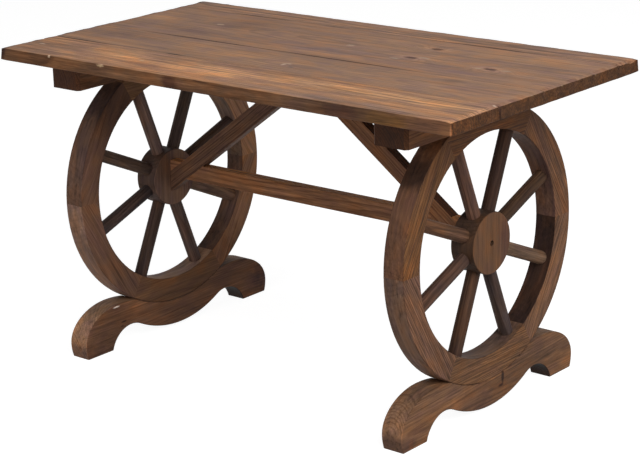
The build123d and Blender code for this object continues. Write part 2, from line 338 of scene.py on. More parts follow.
def foot_line():
    """The bends of half a foot's side view, each with its place and its two Bezier handles."""
    drop = arch_height - (belly_clearance - foot_low.z)
    reach = belly_radius + arch_radius
    arch_y = math.sqrt(2 * reach * drop - drop ** 2)
    arch_z = arch_height - arch_radius
    belly_z = belly_clearance + belly_radius
    rise = math.atan2(arch_y, belly_z - arch_z)
    turn = (belly_radius * math.sin(rise), belly_z - belly_radius * math.cos(rise))
    pad = arch_y + math.sqrt(arch_radius ** 2 - arch_z ** 2)
    fall = math.atan2(pad - arch_y, -arch_z)
    end = foot_length / 2
    toe_radius = (toe_undercut ** 2 + toe_height ** 2) / (2 * toe_undercut)
    toe_turn = math.asin(toe_height / toe_radius)
    shoulder = end - shoulder_length
    saddle_turn = math.acos((wheel_centre - saddle_lip_height) / saddle_radius)
    lip_y = saddle_radius * math.sin(saddle_turn)
    dip = 2 * math.atan2(foot_height - saddle_lip_height, shoulder - lip_y)
    dip_radius = (shoulder - lip_y) / math.sin(dip)

    def pull(radius, angle):
        return 4 / 3 * math.tan(angle / 4) * radius

    def bend(place, coming, back, going, ahead):
        y, z = place
        return (Vector((y, z, 0)),
                Vector((y - back * math.cos(coming), z - back * math.sin(coming), 0)),
                Vector((y + ahead * math.cos(going), z + ahead * math.sin(going), 0)))

    belly_pull = pull(belly_radius, rise)
    arch_pull = pull(arch_radius, rise + fall)
    toe_pull = pull(toe_radius, toe_turn)
    dip_pull = pull(dip_radius, dip)
    saddle_pull = pull(saddle_radius, saddle_turn)
    quarter = pull(1, math.pi / 2)
    pad_pull = (end - toe_undercut - pad) / 3
    straight_up, back_in = math.pi / 2, math.pi
    return [
        bend((0, belly_clearance), 0, belly_pull, 0, belly_pull),
        bend(turn, rise, belly_pull, rise, arch_pull),
        bend((pad, 0), -fall, arch_pull, 0, pad_pull),
        bend((end - toe_undercut, 0), 0, pad_pull, straight_up - toe_turn, toe_pull),
        bend((end, toe_height), straight_up, toe_pull, straight_up, quarter * (foot_height - toe_height)),
        bend((shoulder, foot_height), back_in, quarter * shoulder_length, back_in, dip_pull),
        bend((lip_y, saddle_lip_height), back_in + dip, dip_pull, back_in + saddle_turn, saddle_pull),
        bend((0, wheel_centre - saddle_radius), back_in, saddle_pull, back_in, saddle_pull),
    ]


def sawn_foot():
    """A foot's outline as one closed curve, given its thickness and its eased arrises, at the origin."""
    half = foot_line()
    flip = Vector((-1, 1, 1))
    other = [(place * flip, ahead * flip, back * flip) for place, back, ahead in reversed(half[1:-1])]
    bpy.ops.curve.primitive_bezier_circle_add(rotation=(math.pi / 2, 0, math.pi / 2))
    outline = bpy.context.object.data
    outline.dimensions = "2D"
    outline.fill_mode = "BOTH"
    outline.extrude = foot_thickness / 2 - foot_arris
    outline.bevel_depth = foot_arris
    outline.bevel_resolution = 2
    outline.offset = -foot_arris
    outline.resolution_u = 14
    points = outline.splines[0].bezier_points
    points.add(len(half) + len(other) - len(points))
    for point, (place, back, ahead) in zip(points, half + other):
        point.handle_left_type = "VECTOR" if place.y == back.y == 0 else "FREE"
        point.handle_right_type = "VECTOR" if place.y == ahead.y == 0 else "FREE"
        point.co = place
        point.handle_left = back
        point.handle_right = ahead
    bpy.ops.object.convert(target="MESH")
    settled()
    opened()
    bpy.ops.mesh.remove_doubles(threshold=hair / 2)
    closed()
    return bpy.context.object


def chosen(piece):
    """Makes a piece the active one and the only one selected."""
    bpy.ops.object.select_all(action="DESELECT")
    piece.select_set(True)
    bpy.context.view_layer.objects.active = piece


def copied(pattern, place):
    """A copy of a modelled piece with its own mesh, turned and moved to its place."""
    chosen(pattern)
    bpy.ops.object.duplicate()
    bpy.context.object.matrix_world = place
    settled()
    return bpy.context.object


def thrown_away(*patterns):
    """Removes patterns and cutters once their pieces are made."""
    bpy.ops.object.select_all(action="DESELECT")
    for pattern in patterns:
        pattern.select_set(True)
    bpy.ops.object.delete()


def joined(parts):
    """Several primitives as one."""
    bpy.ops.object.select_all(action="DESELECT")
    for part in parts:
        part.select_set(True)
    bpy.context.view_layer.objects.active = parts[0]
    bpy.ops.object.join()
    return parts[0]


def drilled(piece, cutter):
    """Cuts the holes of a cutter into the piece, which stays the active one."""
    chosen(piece)
    hole = piece.modifiers.new("hole", "BOOLEAN")
    hole.operation = "DIFFERENCE"
    hole.object = cutter
    bpy.ops.object.modifier_apply(modifier="hole")


def turned_rod(profile, sides=24):
    """A solid turned about Z through rings that are given as radius and height."""
    radius, height = profile[0]
    bpy.ops.mesh.primitive_circle_add(vertices=sides, radius=radius, fill_type="NGON",
                                      location=(0, 0, height))
    opened()
    for wider, higher in profile[1:]:
        bpy.ops.mesh.extrude_region_move(TRANSFORM_OT_translate={"value": (0, 0, higher - height)})
        bpy.ops.transform.resize(value=(wider / radius, wider / radius, 1))
        radius, height = wider, higher
    bpy.ops.mesh.select_all(action="SELECT")
    closed()
    settled()
    return bpy.context.object


def aimed(place, direction):
    """Stands what was modelled along Z at a place, looking in a direction."""
    return Matrix.Translation(place) @ Vector(direction).to_track_quat("Z", "Y").to_matrix().to_4x4()


screw_room = 0.00015
cutter_stand = 0.004
screws = {}


def screwed(piece, node, size, places, direction, sink):
    """Bores a piece for the sunk heads of its screws, and notes the screws for when they are made."""
    diameter = size[0]
    head = diameter + screw_room
    screws.setdefault(node, []).extend((size, place, direction) for place in places)
    for place in places:
        cutter = turned_rod([(head, -sink - cutter_stand), (head, 0), (diameter / 2, diameter / 2)])
        cutter.matrix_world = aimed(place, direction)
        bpy.context.view_layer.update()
        drilled(piece, cutter)
        thrown_away(cutter)
        chosen(piece)


def level(tree):
    """1 on the faces that run round a piece sawn from a plank on edge, 0 on its two flat sides."""
    side = worked(tree, "ABSOLUTE", grown(tree, "ShaderNodeSeparateXYZ", outward(tree)))
    return grown(tree, "ShaderNodeMapRange", side, 0.35, 0.8, 1.0, 0.0)


def flat_or_square(face):
    """True for the faces between the eased arrises of a piece sawn from a plank that stands on edge."""
    return abs(face.normal.x) > flat_from or abs(face.normal.x) < square_below


# Each foot: its side, grain and log, its stain, the painted light and shade on its sawn line and the painted
# light on its front toe, and a darker part of its flat face, by its place and its reach along and up the
# foot.
feet = (
    ("left", -1, 3.0, (-0.040, 0, -0.012), (0.85, 0.80, 0.78), (0.92, 1.17, 1.38), (1.85, 1.68, 1.60),
     (-0.19, 0.05), (0.09, 0.09)),
    ("right", 1, 8.0, (0.003, 0, 0.036), (0.82, 0.83, 0.81), (0.77, 0.82, 0.87), (1.58, 1.54, 1.54),
     (0.07, 0.04), (0.23, 0.09)))

# A dark resin scar crosses the belly of the right foot, and the left one is scraped and cracked a little; a
# few wider marks only make a patch darker or paler.
# Each mark has its place, on the face that looks along X (1) or in the middle (0), then along and up the
# foot, its reach, its colour, and how ragged and how gritty its edge is.
foot_marks = {
    "left": (((1, -0.158, 0.051), (0.006, 0.0100, 0.0030), (0.30, 0.28, 0.30), 0.4, (300, 300, 300)),
             ((1, -0.163, 0.043), (0.006, 0.0060, 0.0020), (0.40, 0.38, 0.40), 0.4, (300, 300, 300)),
             ((0, 0.255, 0.040), (0.050, 0.0750, 0.060), (0.42, 0.42, 0.60))),
    "right": (((1, 0.036, 0.050), (0.010, 0.0060, 0.018), (0.22, 0.21, 0.24), 0.3, (250, 250, 90)),
              ((1, 0.031, 0.035), (0.010, 0.0110, 0.004), (0.26, 0.22, 0.22), 0.3, (250, 250, 250)),
              ((1, -0.235, 0.010), (0.010, 0.0080, 0.014), (1.25, 1.05, 0.90)),
              ((1, -0.070, 0.025), (0.020, 0.100, 0.035), (0.80, 0.80, 0.86), 0.3))}
lit_arrises = {"left": ((-0.262, 0.035), 0.012, (1.9, 1.9, 1.9)),
               "right": ((-0.270, 0.045), 0.020, (2.2, 2.1, 1.9))}
through = 0.08
nose_reach = 0.14
# Painted shade for the underside and for the hollow under the arch.
underside_painted_shade = (0.04, 0.03, 0.03)
arch_painted_shade = (0.20, 0.17, 0.17)
heel_tone = (0.58, 0.58, 0.66)
patch_tone = (0.67, 0.68, 0.71)
foot_arris_tone = (0.55, 0.52, 0.52)
scraped_tone = (0.92, 0.78, 0.66)
foot_pattern = sawn_foot()
for name, side, seed, heart, tone, sawn_face_lighting, nose_lighting, patch_place, patch_reach in feet:
    x = side * wheel_x
    face_x = x + foot_thickness / 2
    wood = stained(f"{name}_foot_fir", (0.03, 1, 0.02 * side), (x + heart[0], *heart[1:]), tone, soaked=0.1,
                   Seed=seed, Rings=240, Wander=0.008, Smoke=0.9)
    tree = wood.node_tree
    if name == "right":
        calmed(wood, near(tree, (x, -0.280, 0.006), (through, 0.050, 0.044), 0.1, start=0.75), 0.55, 0.08)
    else:
        calmed(wood, turned(tree, (0, -1, 0.2)), 0.5, 0.6)
    mark(wood, (x, *patch_place), (through, *patch_reach), patch_tone, 0.2, within=turned(tree, (1, 0, 0)))
    # Painted light and shade on the sawn faces that run round the foot, and painted light on its front toe.
    tint(wood, level(tree), sawn_face_lighting)
    mark(wood, (x, foot_low.y, 0.05), (through, nose_reach, nose_reach), nose_lighting, 0.0, start=0.7,
         within=turned(tree, (0, -1, 0.2), 0.5, 0.9))
    # Painted shade on the underside and in the hollow under the arch.
    tint(wood, turned(tree, (0, 0, -1)), underside_painted_shade)
    mark(wood, (x, 0.2, 0), (through, 0.12, 0.045), arch_painted_shade, 0.0, start=0.8,
         within=turned(tree, (0, -1, -0.6), 0.2, 0.6))
    mark(wood, (x, -0.255, 0.012), (0.05, 0.05, 0.024), heel_tone)
    arris_wear_and_highlight(wood, foot_arris_tone, 0.7)
    if name == "left":
        mark(wood, (face_x, -0.176, 0.086), (0.006, 0.0110, 0.0021), scraped_tone, 0.3, (300, 300, 300),
             blend="MIX")
    for (aside, y, z), reach, colour, *edge in foot_marks[name]:
        mark(wood, (x + aside * foot_thickness / 2, y, z), reach, colour, *edge)
    lit_place, lit_reach, lit_tone = lit_arrises[name]
    arris_wear_and_highlight(wood, lit_tone, 1.0, near(tree, (face_x, *lit_place), (0.008, lit_reach, 0.06), 0.0))
    piece = copied(foot_pattern, Matrix.Translation((x, 0, 0)))
    belly = belly_clearance + belly_radius - math.sqrt(belly_radius ** 2 - foot_screw_y ** 2)
    places = [(x, end * foot_screw_y, belly + foot_sink) for end in (-1, 1)]
    screwed(piece, "foot_screws", (0.008, 0.075), places, (0, 0, 1), foot_sink)
    finished(f"{name}_foot", wood, flat_or_square)
thrown_away(foot_pattern)


# ---------------------------------------------------------------- rims
# A rim is six felloes sawn from straight-grained fir, butted end to end and held by a hidden dowel
# across each joint. Both faces are flat, the arrises are eased, and the topmost is planed flat.

felloe_count = 6
felloe_turn = 2 * math.pi / felloe_count
felloe_steps = 16
wheel_radius = wheel_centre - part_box("left_felloe_5")[0].z
rim_thickness = 0.042
rim_depth = 0.047
rim_arris = 0.0015
topmost_felloe = 2
rim_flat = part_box(f"left_felloe_{topmost_felloe}")[1].z
spoke_count = 8
first_spoke = {-1: math.radians(20.5), 1: math.radians(22)}
spoke_diameter = 0.025
hub_centre = wheel_centre + 0.003
spoke_start = 0.038
spoke_end = 0.219
socket_room = 0.00015


def picked(piece, edge_wanted):
    """Opens a piece in edit mode with those edges selected whose two ends pass a test."""
    bpy.ops.object.mode_set(mode="EDIT")
    bpy.ops.mesh.select_mode(type="EDGE")
    bpy.ops.mesh.select_all(action="DESELECT")
    bpy.ops.object.mode_set(mode="OBJECT")
    for edge in piece.data.edges:
        start, end = (piece.data.vertices[number].co for number in edge.vertices)
        edge.select = edge_wanted(start, end)
    bpy.ops.object.mode_set(mode="EDIT")


def eased(piece, size, segments, edge_wanted):
    """Breaks those edges of a piece whose two ends pass a test."""
    picked(piece, edge_wanted)
    bpy.ops.mesh.bevel(offset=size, segments=segments, affect="EDGES")
    bpy.ops.object.mode_set(mode="OBJECT")
    return piece


def cut_off(point, beyond):
    """Saws off what lies beyond a plane through a point, and closes the cut."""
    opened()
    bpy.ops.mesh.bisect(plane_co=point, plane_no=beyond, use_fill=True, clear_outer=True)
    bpy.ops.object.mode_set(mode="OBJECT")


def along_the_rim(start, end):
    """True for an edge that keeps its distance from the middle of the wheel and from its face."""
    return abs(start.x - end.x) < hair and abs(start.yz.length - end.yz.length) < hair


def sawn_felloe():
    """One felloe round the origin, from the joint at 0 degrees to the next."""
    bpy.ops.mesh.primitive_plane_add(size=1, location=(0, wheel_radius - rim_depth / 2, 0))
    bpy.ops.object.mode_set(mode="EDIT")
    bpy.ops.transform.resize(value=(rim_thickness, rim_depth, 1))
    bpy.ops.object.mode_set(mode="OBJECT")
    settled()
    opened()
    bpy.ops.mesh.spin(steps=felloe_steps, angle=-felloe_turn, center=(0, 0, 0), axis=(1, 0, 0))
    bpy.ops.mesh.select_all(action="SELECT")
    closed()
    return eased(bpy.context.object, rim_arris, 3, along_the_rim)


def round_bar(diameter, length, middle, direction, sides=40):
    """A round bar at its place."""
    bpy.ops.mesh.primitive_cylinder_add(vertices=sides, radius=diameter / 2, depth=length, location=middle,
                                        rotation=Vector(direction).to_track_quat("Z", "Y").to_euler())
    return bpy.context.object


def spoke_turns(side):
    """The turn of each spoke about its hub."""
    return [first_spoke[side] + number * 2 * math.pi / spoke_count for number in range(spoke_count)]


def socket_cutter(side):
    """The spokes of a wheel with a little room around them."""
    bars = []
    width = spoke_diameter + 2 * socket_room
    length = spoke_end - spoke_start + 2 * socket_room
    for turn in spoke_turns(side):
        along = Vector((0, math.cos(turn), math.sin(turn)))
        middle = Vector((side * wheel_x, 0, hub_centre)) + along * (spoke_start + spoke_end) / 2
        bars.append(round_bar(width, length, middle, along))
    return joined(bars)


def shaded_round(material, centre, inner, outer):
    """Paints light and shade on the inside of the rim and on its tread, by which way they face."""
    tree = material.node_tree
    inward = moved(tree, "MULTIPLY", moved(tree, "SUBTRACT", centre, object_place(tree)), (0.0, 1.0, 1.0))
    facing = moved(tree, "DOT_PRODUCT", outward(tree), moved(tree, "NORMALIZE", inward)).node.outputs["Value"]
    tint(material, grown(tree, "ShaderNodeMapRange", facing, 0.4, 0.9, 0.0, 1.0), inner)
    tint(material, grown(tree, "ShaderNodeMapRange", facing, -0.4, -0.9, 0.0, 1.0), outer)


# Each felloe's tone, which is its stain with painted light and shade, then the painted light and shade on the
# inside of its rim and on its tread.
plain = (1.0, 1.0, 1.0)
felloe_stain_and_light = {
    "left": ((1.95, 2.00, 2.00), (1.23, 1.24, 1.04), (0.67, 0.66, 0.71), (0.65, 0.66, 0.74),
             (0.57, 0.56, 0.54), (1.55, 1.57, 1.64)),
    "right": ((0.61, 0.59, 0.57), (0.65, 0.54, 0.39), (0.71, 0.63, 0.46), (0.72, 0.72, 0.77),
              (0.63, 0.64, 0.60), (0.84, 0.84, 0.83))}
inner_light_and_shade = {
    "left": ((0.48, 0.57, 0.72), plain, plain, plain, (1.90, 2.50, 3.60), (0.43, 0.48, 0.61)),
    "right": ((0.69, 0.78, 1.12), (1.10, 1.20, 1.50), plain, plain, (0.65, 0.74, 0.99), (0.18, 0.18, 0.23))}
tread_light_and_shade = {
    "left": (plain, plain, (0.78, 0.87, 1.03), (1.74, 1.97, 2.19), plain, plain),
    "right": (plain, plain, (0.73, 0.78, 1.11), (0.99, 1.10, 1.22), plain, plain)}

# Darker stretches, each with its felloe, its place and reach, its shade, and whether it keeps to the round
# faces: painted shadow under the batten on each third felloe, and a darker stretch near the joint of the left
# sixth.
felloe_shades = {
    ("left", 6): ((0.125, 0.090), 0.13, (0.45, 0.43, 0.43), False),
    ("left", 3): ((-0.165, 0.500), 0.060, (0.42, 0.40, 0.44), True),
    ("right", 3): ((-0.190, 0.478), 0.045, (0.36, 0.38, 0.44), True)}
felloe_lines = {"left": 0.38, "right": 0.95}
felloe_arris_tone = (0.50, 0.48, 0.50)
sockets = {side: socket_cutter(side) for side in (-1, 1)}
felloe_pattern = sawn_felloe()
chance = random.Random(7)
for name, side in (("left", -1), ("right", 1)):
    x = side * wheel_x
    for number in range(1, felloe_count + 1):
        node = f"{name}_felloe_{number}"
        turn = (number - 1) * felloe_turn
        middle = turn + felloe_turn / 2
        grain = (0.03, -math.sin(middle), math.cos(middle))
        inward = chance.uniform(0.06, 0.11)
        heart = (x - chance.uniform(0.01, 0.04), inward * math.cos(middle),
                 wheel_centre + inward * math.sin(middle))
        wood = stained(f"{node}_fir", grain, heart, felloe_stain_and_light[name][number - 1],
                       Seed=chance.uniform(0, 40), Rings=235, Wander=0.012, Smoke=1.0)
        tree = wood.node_tree
        calmed(wood, level(tree), felloe_lines[name], 0.25)
        # Painted light and shade on the inside of the rim and on the tread.
        shaded_round(wood, (0, 0, wheel_centre), inner_light_and_shade[name][number - 1], tread_light_and_shade[name][number - 1])
        if (name, number) in felloe_shades:
            place, reach, shade, round_only = felloe_shades[name, number]
            mark(wood, (x, *place), (through, reach, reach), shade, 0.2,
                 within=level(tree) if round_only else None)
        arris_wear_and_highlight(wood, felloe_arris_tone, 0.8)
        copied(felloe_pattern, Matrix.Translation((x, 0, wheel_centre)) @ Matrix.Rotation(turn, 4, "X"))
        if number == topmost_felloe:
            cut_off((0, 0, rim_flat), (0, 0, 1))
        drilled(bpy.context.object, sockets[side])
        finished(node, wood, flat_or_square)
thrown_away(felloe_pattern)


# ---------------------------------------------------------------- hubs
# A hub is a short fir log turned round, with a socket for each spoke. One screw goes through it into
# the brace behind it, with its head sunk below the outer face.

hub_radius = 0.056
hub_length = 0.048
hub_arris = 0.0015
head_sink = 0.006


def turned_hub():
    """A hub at the origin with its length along X."""
    piece = round_bar(2 * hub_radius, hub_length, (0, 0, 0), (1, 0, 0), sides=96)
    settled()
    return eased(piece, hub_arris, 3, lambda start, end: abs(start.x - end.x) < hair)


hub_pattern = turned_hub()
# Each hub: its side, its tone, and the painted shade on its round side.
for name, side, tone, round_painted_shade in (("left", -1, (0.88, 1.00, 1.24), (0.54, 0.55, 0.60)),
                                     ("right", 1, (0.50, 0.50, 0.50), (0.52, 0.58, 0.70))):
    x = side * wheel_x
    wood = stained(f"{name}_hub_fir", (0, 0.04, 1), (x - 0.02, 0.10, hub_centre), tone, Seed=5 + side,
                   Wander=0.01)
    tree = wood.node_tree
    calmed(wood, level(tree), 0.3, 0.5)
    tint(wood, level(tree), round_painted_shade)
    # Painted shade over the back of the face, and a paler stretch across its middle.
    mark(wood, (x, 0.040, hub_centre), (0.05, 0.030, 0.07), (0.66, 0.62, 0.86), 0.15)
    mark(wood, (x, -0.006, hub_centre), (0.05, 0.030, 0.06), (1.10, 1.04, 0.92), 0.15)
    arris_wear_and_highlight(wood, (0.60, 0.58, 0.60), 0.6)
    lit_side = near(tree, (x + hub_length / 2, -0.052, hub_centre), (0.006, 0.016, 0.03), 0.0)
    arris_wear_and_highlight(wood, (2.2, 2.1, 1.9), 1.0, lit_side)
    piece = copied(hub_pattern, Matrix.Translation((x, 0, hub_centre)))
    drilled(piece, sockets[side])
    head = (x + side * (hub_length / 2 - head_sink), 0, hub_centre)
    screwed(piece, "hub_screws", (0.005, 0.080), [head], (-side, 0, 0), head_sink)
    finished(f"{name}_hub", wood, flat_or_square)
    thrown_away(sockets[side])
thrown_away(hub_pattern)


# ---------------------------------------------------------------- spokes
# Sixteen plain fir dowels, eight to a wheel, each glued into a socket in the hub and one in the rim.
# Their ends are broken by a small chamfer, and each has its own grain and a tone that is its stain together
# with painted light and shade.

spoke_end_chamfer = 0.001
spoke_middle = (spoke_start + spoke_end) / 2


def unrubbed(face):
    """True for every face, on pieces whose arrises aren't rubbed."""
    return True


dowel = round_bar(spoke_diameter, spoke_end - spoke_start, (0, spoke_middle, 0), (0, 1, 0), sides=48)
settled()
eased(dowel, spoke_end_chamfer, 1, lambda start, end: abs(start.y - end.y) < hair)
# Each spoke's tone: its stain together with the painted light and shade where it stands.
spoke_stain_and_light = {
    "left": ((0.33, 0.39, 0.51), (0.31, 0.41, 0.58), (0.78, 0.98, 1.50), (0.45, 0.57, 0.80),
             (0.25, 0.34, 0.56), (0.31, 0.37, 0.52), (0.46, 0.59, 0.92), (1.07, 1.24, 1.42)),
    "right": ((0.28, 0.29, 0.28), (0.21, 0.21, 0.26), (0.55, 0.58, 0.77), (0.59, 0.59, 0.59),
              (0.29, 0.34, 0.51), (0.30, 0.30, 0.33), (0.27, 0.37, 0.62), (0.68, 0.81, 0.95))}
for name, side in (("left", -1), ("right", 1)):
    for number, turn in enumerate(spoke_turns(side), start=1):
        grain = (0.02, math.cos(turn), math.sin(turn))
        heart = (side * wheel_x + chance.uniform(-0.06, -0.03), 0.01, hub_centre + 0.01)
        node = f"{name}_spoke_{number}"
        wood = stained(f"{node}_fir", grain, heart, spoke_stain_and_light[name][number - 1],
                       Seed=chance.uniform(0, 40), Lines=0.7, Smoke=1.0)
        copied(dowel, Matrix.Translation((side * wheel_x, 0, hub_centre)) @ Matrix.Rotation(turn, 4, "X"))
        finished(node, wood, unrubbed)
thrown_away(dowel)


# ---------------------------------------------------------------- stretcher, braces and top rail
# Four squared fir bars of one size. The stretcher runs from hub to hub, and a brace rises from each
# hub to the rail under the middle of the top. Each brace and the stretcher are halved into each other.

bar_width = 0.022
bar_depth = 0.033
bar_arris = 0.0012
hub_face = wheel_x - hub_length / 2
rail_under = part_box("top_rail")[0].z
brace_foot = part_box("left_brace")[0].z
brace_screw_x = 0.032
rail_screw_x = 0.180
# Painted highlight along the arrises of the bars.
bar_arris_highlight = (1.35, 1.30, 1.25)
broad_area = 0.0004


def squared(low, high, arris):
    """A squared piece between two corners, with all its arrises eased."""
    low, high = Vector(low), Vector(high)
    bpy.ops.mesh.primitive_cube_add(size=1, location=(low + high) / 2)
    bpy.ops.object.mode_set(mode="EDIT")
    bpy.ops.transform.resize(value=high - low)
    if arris:
        bpy.ops.mesh.bevel(offset=arris, segments=2, affect="EDGES")
    bpy.ops.object.mode_set(mode="OBJECT")
    settled()
    return bpy.context.object


def broad(face):
    """True for the sides and ends of a squared piece, between its arrises."""
    return face.area > broad_area


def sloping_bar(side, front, back, arris):
    """A brace before it is halved, cut level under the rail and upright at the hub."""
    slope = math.atan2(rail_under - brace_foot, hub_face)
    length = 2 * hub_face
    ends = sorted((-side * length / 4, side * length))
    piece = squared((ends[0], front, 0), (ends[1], back, bar_depth), arris)
    piece.matrix_world = Matrix.Translation((0, 0, rail_under)) @ Matrix.Rotation(side * slope, 4, "Y")
    settled()
    cut_off((0, 0, rail_under), (0, 0, 1))
    cut_off((side * hub_face, 0, 0), (side, 0, 0))
    return piece


stretcher_low, stretcher_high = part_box("stretcher")
behind_stretcher = squared((-hub_face, 0, stretcher_low.z), (hub_face, bar_width, stretcher_high.z), 0)
braces_front = [sloping_bar(side, -bar_width, 0, 0) for side in (-1, 1)]
# The left brace's tone is darker than the right's: partly its stain, partly painted shade.
for name, side, tone in (("left", -1, (0.62, 0.62, 0.67)), ("right", 1, (0.81, 0.73, 0.67))):
    slope = (side, 0, -(rail_under - brace_foot) / hub_face)
    wood = stained(f"{name}_brace_fir", slope, (0, -0.05, 0.5 + 0.03 * side), tone, Seed=11 + side)
    # Painted shade on the upper faces of the braces, under the top.
    tint(wood, turned(wood.node_tree, (0, 0, 1), 0.3, 0.6), (0.43, 0.30, 0.19))
    arris_wear_and_highlight(wood, bar_arris_highlight, 0.8)
    piece = sloping_bar(side, -bar_width / 2, bar_width / 2, bar_arris)
    drilled(piece, behind_stretcher)
    under = rail_under - brace_screw_x * (rail_under - brace_foot) / hub_face
    head = (side * brace_screw_x, 0, under + head_sink)
    screwed(piece, "brace_screws", (0.0045, 0.036), [head], (0, 0, 1), head_sink)
    finished(f"{name}_brace", wood, broad)
# Painted light: the stretcher's raised tone, and its much paler upper face.
wood = stained("stretcher_fir", (1, 0, 0.01), (0, -0.06, 0.31), (1.14, 1.03, 0.91), Seed=17)
tint(wood, turned(wood.node_tree, (0, 0, 1)), (2.45, 2.45, 1.95))
arris_wear_and_highlight(wood, bar_arris_highlight, 0.8)
piece = squared((-hub_face, -bar_width / 2, stretcher_low.z), (hub_face, bar_width / 2, stretcher_high.z),
                bar_arris)
for cutter in braces_front:
    drilled(piece, cutter)
finished("stretcher", wood, broad)
thrown_away(behind_stretcher, *braces_front)

rail_low, rail_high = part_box("top_rail")
wood = stained("top_rail_fir", (1, 0, 0.01), (0, -0.05, 0.50), (0.8, 0.78, 0.78), Seed=23)
piece = squared(rail_low, rail_high, bar_arris)
places = [(end * rail_screw_x, 0, rail_under + head_sink) for end in (-1, 1)]
screwed(piece, "rail_screws", (0.0045, 0.044), places, (0, 0, 1), head_sink)
finished("top_rail", wood, broad)


# ---------------------------------------------------------------- battens
# A batten of sawn fir lies across the top over each wheel, screwed down into the planed top of its
# rim. The upright corners at both ends are cut off, and the lower arrises are eased.

batten_corner = 0.006
batten_arris = 0.001
batten_stagger = 0.027
wheel_screw_y = 0.040


def sawn_batten(low, high):
    """A batten between two corners."""
    piece = squared(low, high, 0)
    eased(piece, batten_corner, 1, lambda start, end: abs(start.z - end.z) > hair)
    return eased(piece, batten_arris, 2, lambda start, end: max(start.z, end.z) < low.z + hair)


# Each screw of a batten has its plank, its share of the plank's width, and the side to which it is staggered.
batten_screws = ((1, 0.5, 1), (2, 0.5, -1), (3, 0.25, 1), (3, 0.75, -1), (4, 0.5, 1))
for name, side, tone, end_tone in (("left", -1, (0.86, 0.85, 0.83), (0.46, 0.38, 0.37)),
                                   ("right", 1, (0.80, 0.70, 0.58), (0.36, 0.32, 0.33))):
    x = side * wheel_x
    wood = stained(f"{name}_batten_fir", (0.02, 1, 0.01 * side), (x - 0.06, 0, 0.52), tone, Seed=29 + side)
    # Painted shade on the front end, in the shadow of the top above it.
    tint(wood, turned(wood.node_tree, (0, -1, 0)), end_tone)
    arris_wear_and_highlight(wood, (0.70, 0.66, 0.66), 0.8)
    low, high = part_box(f"{name}_batten")
    piece = sawn_batten(low, high)
    reach = high.y - 2 * batten_corner
    places = []
    for number, share, stagger in batten_screws:
        plank_low, plank_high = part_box(f"top_plank_{number}")
        y = plank_low.y + share * (plank_high.y - plank_low.y)
        places.append((x + stagger * batten_stagger, max(-reach, min(reach, y)), low.z + head_sink))
    screwed(piece, f"{name}_batten_screws", (0.005, 0.055), places, (0, 0, 1), head_sink)
    places = [(x, end * wheel_screw_y, high.z - head_sink) for end in (-1, 1)]
    screwed(piece, "wheel_screws", (0.006, 0.060), places, (0, 0, -1), head_sink)
    finished(f"{name}_batten", wood, broad)


# ---------------------------------------------------------------- top
# Four fir planks lie edge to edge, screwed up through the battens. They were wire-brushed and knocked
# about before they were stained: the arrises are worn round and nicked, most of all at the ends.

top_arris = 0.002
seam_arris = 0.0006
end_wear = 0.0042
edge_wear = 0.0014
plank_step = 0.012
lower_wear = 0.3
worn_reach = 1.2 * top_arris
zone_depth = 0.1
knot_ring = (0.052, 0.026, 0.04)
knot_ring_tone = (1.34, 1.36, 1.42)
knot_bend = (0.09, 0.040, 0.04)
knot_swirl = 0.022
knot_core = (0.020, 0.0095, 0.02)
knot_core_tone = (0.24, 0.18, 0.18)
notch_reach = 0.0075
notch_depth = 0.0035
top_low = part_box("top_plank_1")[0]
top_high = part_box("top_plank_4")[1]


def worn_plank(low, high, notches):
    """A plank between two corners, with fine cuts along and across it so that its arrises can wear."""
    piece = squared(low, high, 0)
    for direction, length in ((Vector((1, 0, 0)), high.x - low.x), (Vector((0, 1, 0)), high.y - low.y)):
        picked(piece, lambda start, end: (end - start).cross(direction).length < hair)
        bpy.ops.mesh.subdivide(number_cuts=int(length / plank_step))
        bpy.ops.object.mode_set(mode="OBJECT")

    def on_face(start, end):
        return abs(start.z - end.z) < hair and min(abs(start.z - low.z), abs(start.z - high.z)) < hair

    def along_outside(start, end):
        at_end = abs(start.x - end.x) < hair and min(start.x - low.x, high.x - start.x) < hair
        at_edge = abs(start.y - end.y) < hair and min(start.y - top_low.y, top_high.y - start.y) < hair
        return on_face(start, end) and (at_end or at_edge)

    def along_seam(start, end):
        at_seam = abs(start.y - end.y) < hair and min(start.y - low.y, high.y - start.y) < hair
        return on_face(start, end) and at_seam

    eased(piece, top_arris, 3, along_outside)
    eased(piece, seam_arris, 1, along_seam)
    for where, wear in (("ends", end_wear), ("edges", edge_wear)):
        rubbed = piece.vertex_groups.new(name=where)
        for vertex in piece.data.vertices:
            spot = vertex.co
            from_end = min(spot.x - low.x, high.x - spot.x)
            from_edge = min(spot.y - top_low.y, top_high.y - spot.y)
            from_face = min(spot.z - low.z, high.z - spot.z)
            away = max(from_face, from_end if where == "ends" else from_edge)
            weight = 1.0 if spot.z > (low.z + high.z) / 2 else lower_wear
            rubbed.add([vertex.index], weight if away < worn_reach else 0.0, "REPLACE")
        grit = bpy.data.textures.new(f"{where}_wear", "CLOUDS")
        grit.noise_scale = 0.022
        grit.noise_depth = 3
        worn = piece.modifiers.new("worn", "DISPLACE")
        worn.texture = grit
        worn.texture_coords = "LOCAL"
        worn.mid_level = 1.0
        worn.strength = wear
        worn.vertex_group = rubbed.name
        bpy.ops.object.modifier_apply(modifier="worn")
    for notch in notches:
        picked(piece, lambda start, end: max((start - notch).length, (end - notch).length) < notch_reach)
        bpy.ops.transform.translate(value=(-math.copysign(notch_depth / 2, notch.x), 0, -notch_depth))
        bpy.ops.object.mode_set(mode="OBJECT")


def flat_or_end(face):
    """True for the faces and the ends of a plank, between its arrises."""
    return max(abs(side) for side in face.normal) > flat_from


